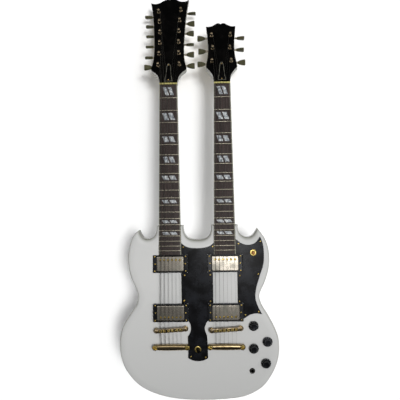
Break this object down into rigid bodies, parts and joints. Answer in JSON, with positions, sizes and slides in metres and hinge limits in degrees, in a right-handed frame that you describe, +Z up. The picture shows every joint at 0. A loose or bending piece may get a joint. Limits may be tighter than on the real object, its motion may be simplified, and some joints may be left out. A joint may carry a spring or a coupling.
{
  "type": "double-neck electric guitar",
  "caption": "Solid-body electric guitar with two parallel necks on one double-horned body, paired-string and single-string necks, gold hardware, black guards, turning keys, knobs and switches.",
  "frame": {"origin": "on the flat back of the body, midway between the necks, at the height of the saddle line", "axes": "+Z up along the necks, -Y out of the face towards the player's audience, +X to the viewer's right"},
  "size_m": [0.4081, 0.1521, 1.0773],
  "materials": {
    "white_lacquer": "solid-colour gloss lacquer over hardwood",
    "rosewood": "open-grained dark wood, waxed",
    "nut_bone": "yellowed, satin",
    "olive_key": "olive, slightly cloudy",
    "amber_tip": "amber, glossy",
    "black_plastic": "black, glossy",
    "gold_metal": "gold plated, worn"
  },
  "bodies": {
    "instrument": {"body": "white_lacquer", "control_cover": "black_plastic", "pickguard_treble": "black_plastic", "pickguard_centre": "black_plastic", "bridge_12": "gold_metal", "tailpiece_12": "gold_metal", "pickup_ring_12_neck": "black_plastic", "pickup_12_neck": "gold_metal", "pickup_ring_12_bridge": "black_plastic", "pickup_12_bridge": "gold_metal", "bridge_6": "gold_metal", "tailpiece_6": "gold_metal", "pickup_ring_6_neck": "black_plastic", "pickup_6_neck": "gold_metal", "pickup_ring_6_bridge": "black_plastic", "pickup_6_bridge": "gold_metal", "potentiometer_volume_upper": "gold_metal", "potentiometer_tone_upper": "gold_metal", "potentiometer_volume_lower": "gold_metal", "potentiometer_tone_lower": "gold_metal", "output_jack": "gold_metal", "neck_switch": "gold_metal", "pickup_switch": "gold_metal", "strap_button": "gold_metal", "neck_12": "white_lacquer", "fingerboard_12": "rosewood", "nut_12": "nut_bone", "truss_rod_cover_12": "black_plastic", "tuner_strip_12_bass": "gold_metal", "tuner_strip_12_treble": "gold_metal", "neck_6": "white_lacquer", "fingerboard_6": "rosewood", "nut_6": "nut_bone", "truss_rod_cover_6": "black_plastic", "tuner_strip_6_bass": "gold_metal", "tuner_strip_6_treble": "gold_metal"},
    "knob_volume_upper": {"knob_volume_upper": "black_plastic"},
    "knob_tone_upper": {"knob_tone_upper": "black_plastic"},
    "knob_volume_lower": {"knob_volume_lower": "black_plastic"},
    "knob_tone_lower": {"knob_tone_lower": "black_plastic"},
    "neck_switch_lever": {"neck_switch_lever": "black_plastic"},
    "pickup_switch_lever": {"pickup_switch_lever": "amber_tip"},
    "tuner_key_12_bass_1": {"tuner_key_12_bass_1": "olive_key"},
    "tuner_key_12_bass_2": {"tuner_key_12_bass_2": "olive_key"},
    "tuner_key_12_bass_3": {"tuner_key_12_bass_3": "olive_key"},
    "tuner_key_12_bass_4": {"tuner_key_12_bass_4": "olive_key"},
    "tuner_key_12_bass_5": {"tuner_key_12_bass_5": "olive_key"},
    "tuner_key_12_bass_6": {"tuner_key_12_bass_6": "olive_key"},
    "tuner_key_12_treble_1": {"tuner_key_12_treble_1": "olive_key"},
    "tuner_key_12_treble_2": {"tuner_key_12_treble_2": "olive_key"},
    "tuner_key_12_treble_3": {"tuner_key_12_treble_3": "olive_key"},
    "tuner_key_12_treble_4": {"tuner_key_12_treble_4": "olive_key"},
    "tuner_key_12_treble_5": {"tuner_key_12_treble_5": "olive_key"},
    "tuner_key_12_treble_6": {"tuner_key_12_treble_6": "olive_key"},
    "tuner_key_6_bass_1": {"tuner_key_6_bass_1": "olive_key"},
    "tuner_key_6_bass_2": {"tuner_key_6_bass_2": "olive_key"},
    "tuner_key_6_bass_3": {"tuner_key_6_bass_3": "olive_key"},
    "tuner_key_6_treble_1": {"tuner_key_6_treble_1": "olive_key"},
    "tuner_key_6_treble_2": {"tuner_key_6_treble_2": "olive_key"},
    "tuner_key_6_treble_3": {"tuner_key_6_treble_3": "olive_key"}
  },
  "joints": [
    {"name": "knob_volume_upper_turn", "type": "hinge", "parent": "instrument", "child": "knob_volume_upper", "pos_m": [0.14, -0.0434, 0.00439], "axis": [0, -1, 0], "range_deg": [-150, 150]},
    {"name": "knob_tone_upper_turn", "type": "hinge", "parent": "instrument", "child": "knob_tone_upper", "pos_m": [0.1745, -0.0434, -0.036], "axis": [0, -1, 0], "range_deg": [-150, 150]},
    {"name": "knob_volume_lower_turn", "type": "hinge", "parent": "instrument", "child": "knob_volume_lower", "pos_m": [0.1395, -0.0434, -0.05298], "axis": [0, -1, 0], "range_deg": [-150, 150]},
    {"name": "knob_tone_lower_turn", "type": "hinge", "parent": "instrument", "child": "knob_tone_lower", "pos_m": [0.17, -0.0434, -0.09052], "axis": [0, -1, 0], "range_deg": [-150, 150]},
    {"name": "neck_switch_lever_turn", "type": "hinge", "parent": "instrument", "child": "neck_switch_lever", "pos_m": [-0.0025, -0.0444, -0.0535], "axis": [0.7071, 0, 0.7071], "range_deg": [-26, 0]},
    {"name": "pickup_switch_lever_turn", "type": "hinge", "parent": "instrument", "child": "pickup_switch_lever", "pos_m": [0.1415, -0.0444, 0.19031], "axis": [-0.7071, 0, 0.7071], "range_deg": [-13, 13]},
    {"name": "tuner_key_12_bass_1_turn", "type": "hinge", "parent": "instrument", "child": "tuner_key_12_bass_1", "pos_m": [-0.0993, 0.02074, 0.68564], "axis": [-1, 0, 0], "continuous": true},
    {"name": "tuner_key_12_bass_2_turn", "type": "hinge", "parent": "instrument", "child": "tuner_key_12_bass_2", "pos_m": [-0.09756, 0.03146, 0.71511], "axis": [-1, 0, 0], "continuous": true},
    {"name": "tuner_key_12_bass_3_turn", "type": "hinge", "parent": "instrument", "child": "tuner_key_12_bass_3", "pos_m": [-0.09683, 0.04359, 0.74843], "axis": [-1, 0, 0], "continuous": true},
    {"name": "tuner_key_12_bass_4_turn", "type": "hinge", "parent": "instrument", "child": "tuner_key_12_bass_4", "pos_m": [-0.09704, 0.0553, 0.78059], "axis": [-1, 0, 0], "continuous": true},
    {"name": "tuner_key_12_bass_5_turn", "type": "hinge", "parent": "instrument", "child": "tuner_key_12_bass_5", "pos_m": [-0.09891, 0.06673, 0.812], "axis": [-1, 0, 0], "continuous": true},
    {"name": "tuner_key_12_bass_6_turn", "type": "hinge", "parent": "instrument", "child": "tuner_key_12_bass_6", "pos_m": [-0.10203, 0.07798, 0.84293], "axis": [-1, 0, 0], "continuous": true},
    {"name": "tuner_key_12_treble_1_turn", "type": "hinge", "parent": "instrument", "child": "tuner_key_12_treble_1", "pos_m": [-0.0404, 0.02139, 0.68743], "axis": [1, 0, 0], "continuous": true},
    {"name": "tuner_key_12_treble_2_turn", "type": "hinge", "parent": "instrument", "child": "tuner_key_12_treble_2", "pos_m": [-0.04214, 0.03392, 0.72186], "axis": [1, 0, 0], "continuous": true},
    {"name": "tuner_key_12_treble_3_turn", "type": "hinge", "parent": "instrument", "child": "tuner_key_12_treble_3", "pos_m": [-0.04287, 0.04508, 0.75253], "axis": [1, 0, 0], "continuous": true},
    {"name": "tuner_key_12_treble_4_turn", "type": "hinge", "parent": "instrument", "child": "tuner_key_12_treble_4", "pos_m": [-0.04266, 0.0578, 0.78746], "axis": [1, 0, 0], "continuous": true},
    {"name": "tuner_key_12_treble_5_turn", "type": "hinge", "parent": "instrument", "child": "tuner_key_12_treble_5", "pos_m": [-0.04079, 0.06918, 0.81873], "axis": [1, 0, 0], "continuous": true},
    {"name": "tuner_key_12_treble_6_turn", "type": "hinge", "parent": "instrument", "child": "tuner_key_12_treble_6", "pos_m": [-0.03767, 0.08121, 0.8518], "axis": [1, 0, 0], "continuous": true},
    {"name": "tuner_key_6_bass_1_turn", "type": "hinge", "parent": "instrument", "child": "tuner_key_6_bass_1", "pos_m": [0.04322, 0.02291, 0.69161], "axis": [-1, 0, 0], "continuous": true},
    {"name": "tuner_key_6_bass_2_turn", "type": "hinge", "parent": "instrument", "child": "tuner_key_6_bass_2", "pos_m": [0.04554, 0.037, 0.73033], "axis": [-1, 0, 0], "continuous": true},
    {"name": "tuner_key_6_bass_3_turn", "type": "hinge", "parent": "instrument", "child": "tuner_key_6_bass_3", "pos_m": [0.04322, 0.05171, 0.77073], "axis": [-1, 0, 0], "continuous": true},
    {"name": "tuner_key_6_treble_1_turn", "type": "hinge", "parent": "instrument", "child": "tuner_key_6_treble_1", "pos_m": [0.09648, 0.02394, 0.69443], "axis": [1, 0, 0], "continuous": true},
    {"name": "tuner_key_6_treble_2_turn", "type": "hinge", "parent": "instrument", "child": "tuner_key_6_treble_2", "pos_m": [0.09416, 0.03799, 0.73305], "axis": [1, 0, 0], "continuous": true},
    {"name": "tuner_key_6_treble_3_turn", "type": "hinge", "parent": "instrument", "child": "tuner_key_6_treble_3", "pos_m": [0.09648, 0.05113, 0.76914], "axis": [1, 0, 0], "continuous": true}
  ]
}
